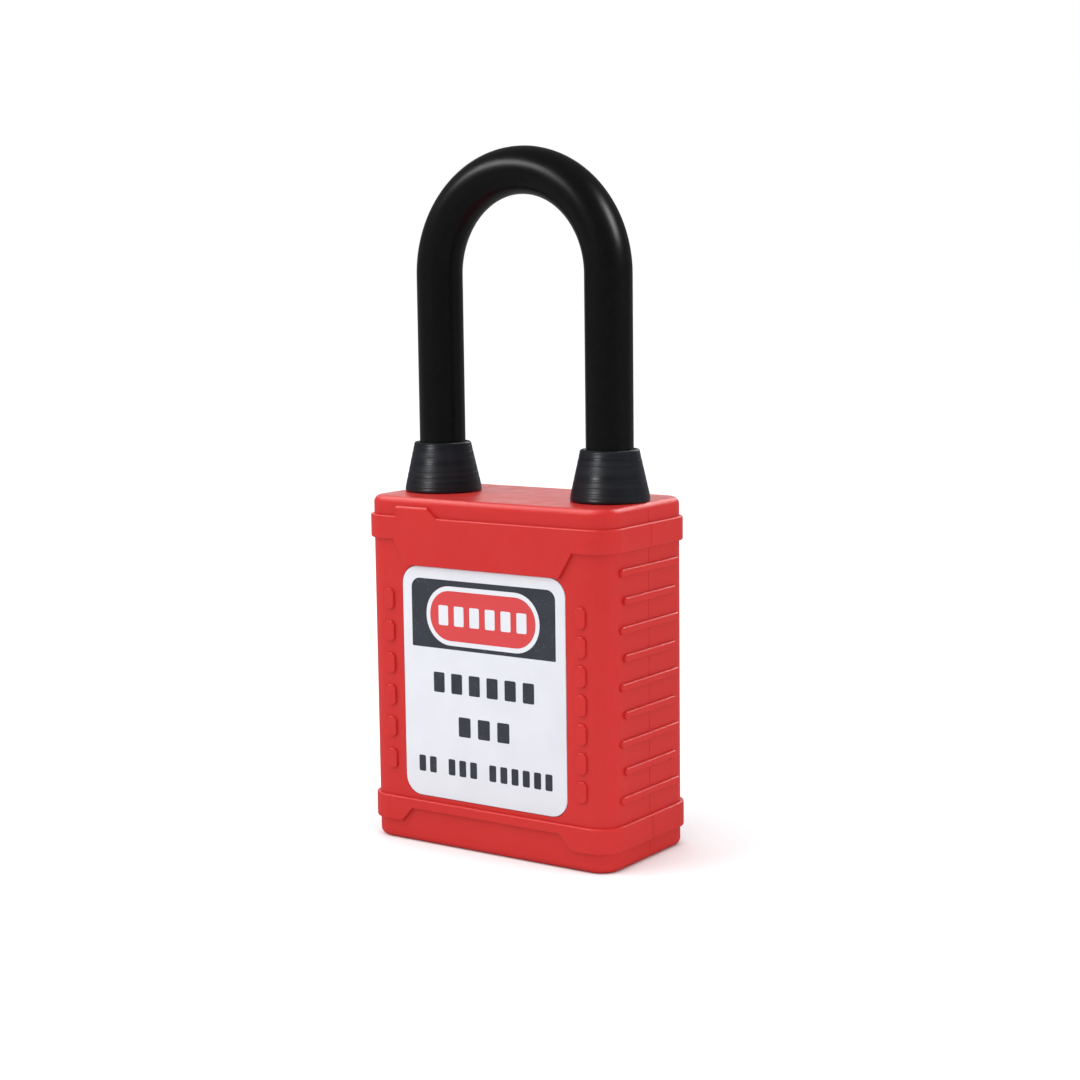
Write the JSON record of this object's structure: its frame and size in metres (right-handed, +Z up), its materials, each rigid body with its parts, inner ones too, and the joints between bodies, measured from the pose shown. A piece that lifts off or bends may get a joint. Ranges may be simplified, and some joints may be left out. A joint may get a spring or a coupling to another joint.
{
  "type": "safety padlock",
  "caption": "Lockout padlock: box-shaped moulded body with side grips and label, plastic U shackle with cone dust sleeves, pin cylinder turned from the bottom face.",
  "frame": {"origin": "centre of the bottom face, on the surface the lock stands on", "axes": "+X along the label's width towards the toe leg, +Y from the label to the back, +Z up along the shackle"},
  "size_m": [0.038, 0.02, 0.089],
  "materials": {
    "red_nylon": "satin moulded nylon",
    "black_nylon": "glossy moulded nylon",
    "black_rubber": "matte rubber",
    "label_film": "printed vinyl film",
    "zinc_alloy": "die-cast zinc, as cast",
    "brass": "turned brass",
    "nickel_steel": "nickel plated steel",
    "spring_steel": "drawn spring wire"
  },
  "bodies": {
    "root": {"front_shell": "red_nylon", "rear_shell": "red_nylon", "front_label": "label_film", "rear_label": "label_film", "lock_case": "zinc_alloy", "case_cover": "zinc_alloy", "pin_cover": "brass", "heel_retainer": "nickel_steel", "shackle_spring": "spring_steel", "latch_spring": "spring_steel", "pin_spring_1": "spring_steel", "pin_spring_2": "spring_steel", "pin_spring_3": "spring_steel", "pin_spring_4": "spring_steel", "pin_spring_5": "spring_steel"},
    "shackle": {"shackle": "black_nylon", "heel_sleeve": "black_rubber", "toe_sleeve": "black_rubber"},
    "plug": {"plug": "brass", "plug_clip": "spring_steel", "cam": "nickel_steel"},
    "toe_latch": {"toe_latch": "nickel_steel"},
    "heel_latch": {"heel_latch": "nickel_steel"},
    "key_pin_1": {"key_pin_1": "brass"},
    "driver_pin_1": {"driver_pin_1": "nickel_steel"},
    "key_pin_2": {"key_pin_2": "brass"},
    "driver_pin_2": {"driver_pin_2": "nickel_steel"},
    "key_pin_3": {"key_pin_3": "brass"},
    "driver_pin_3": {"driver_pin_3": "nickel_steel"},
    "key_pin_4": {"key_pin_4": "brass"},
    "driver_pin_4": {"driver_pin_4": "nickel_steel"},
    "key_pin_5": {"key_pin_5": "brass"},
    "driver_pin_5": {"driver_pin_5": "nickel_steel"}
  },
  "joints": [
    {"name": "shackle_lift", "type": "slide", "parent": "root", "child": "shackle", "axis": [0, 0, 1], "range_m": [0, 0.011], "deforming": ["shackle_spring"]},
    {"name": "plug_turn", "type": "hinge", "parent": "root", "child": "plug", "pos_m": [0, 0, 0.015], "axis": [0, 0, 1], "range_deg": [-90, 0]},
    {"name": "toe_latch_slide", "type": "slide", "parent": "root", "child": "toe_latch", "axis": [1, 0, 0], "range_m": [0, 0.002], "deforming": ["latch_spring"]},
    {"name": "heel_latch_slide", "type": "slide", "parent": "root", "child": "heel_latch", "axis": [-1, 0, 0], "range_m": [0, 0.0011], "deforming": ["latch_spring"]},
    {"name": "key_pin_1_slide", "type": "slide", "parent": "plug", "child": "key_pin_1", "axis": [0, 1, 0], "range_m": [-0.0007, 0]},
    {"name": "key_pin_2_slide", "type": "slide", "parent": "plug", "child": "key_pin_2", "axis": [0, 1, 0], "range_m": [-0.0007, 0]},
    {"name": "key_pin_3_slide", "type": "slide", "parent": "plug", "child": "key_pin_3", "axis": [0, 1, 0], "range_m": [-0.0007, 0]},
    {"name": "key_pin_4_slide", "type": "slide", "parent": "plug", "child": "key_pin_4", "axis": [0, 1, 0], "range_m": [-0.0007, 0]},
    {"name": "key_pin_5_slide", "type": "slide", "parent": "plug", "child": "key_pin_5", "axis": [0, 1, 0], "range_m": [-0.0007, 0]},
    {"name": "driver_pin_1_slide", "type": "slide", "parent": "root", "child": "driver_pin_1", "axis": [1, 0, 0], "range_m": [0, 0.0012], "stiffness_N_per_m": 20, "springref_m": -0.003, "deforming": ["pin_spring_1"]},
    {"name": "driver_pin_2_slide", "type": "slide", "parent": "root", "child": "driver_pin_2", "axis": [1, 0, 0], "range_m": [0, 0.0012], "stiffness_N_per_m": 20, "springref_m": -0.003, "deforming": ["pin_spring_2"]},
    {"name": "driver_pin_3_slide", "type": "slide", "parent": "root", "child": "driver_pin_3", "axis": [1, 0, 0], "range_m": [0, 0.0012], "stiffness_N_per_m": 20, "springref_m": -0.003, "deforming": ["pin_spring_3"]},
    {"name": "driver_pin_4_slide", "type": "slide", "parent": "root", "child": "driver_pin_4", "axis": [1, 0, 0], "range_m": [0, 0.0012], "stiffness_N_per_m": 20, "springref_m": -0.003, "deforming": ["pin_spring_4"]},
    {"name": "driver_pin_5_slide", "type": "slide", "parent": "root", "child": "driver_pin_5", "axis": [1, 0, 0], "range_m": [0, 0.0012], "stiffness_N_per_m": 20, "springref_m": -0.003, "deforming": ["pin_spring_5"]}
  ],
  "couplings": [
    {"joint": "toe_latch_slide", "follows": "plug_turn", "m_per_rad": -0.0012732},
    {"joint": "heel_latch_slide", "follows": "plug_turn", "m_per_rad": -0.00070028}
  ]
}
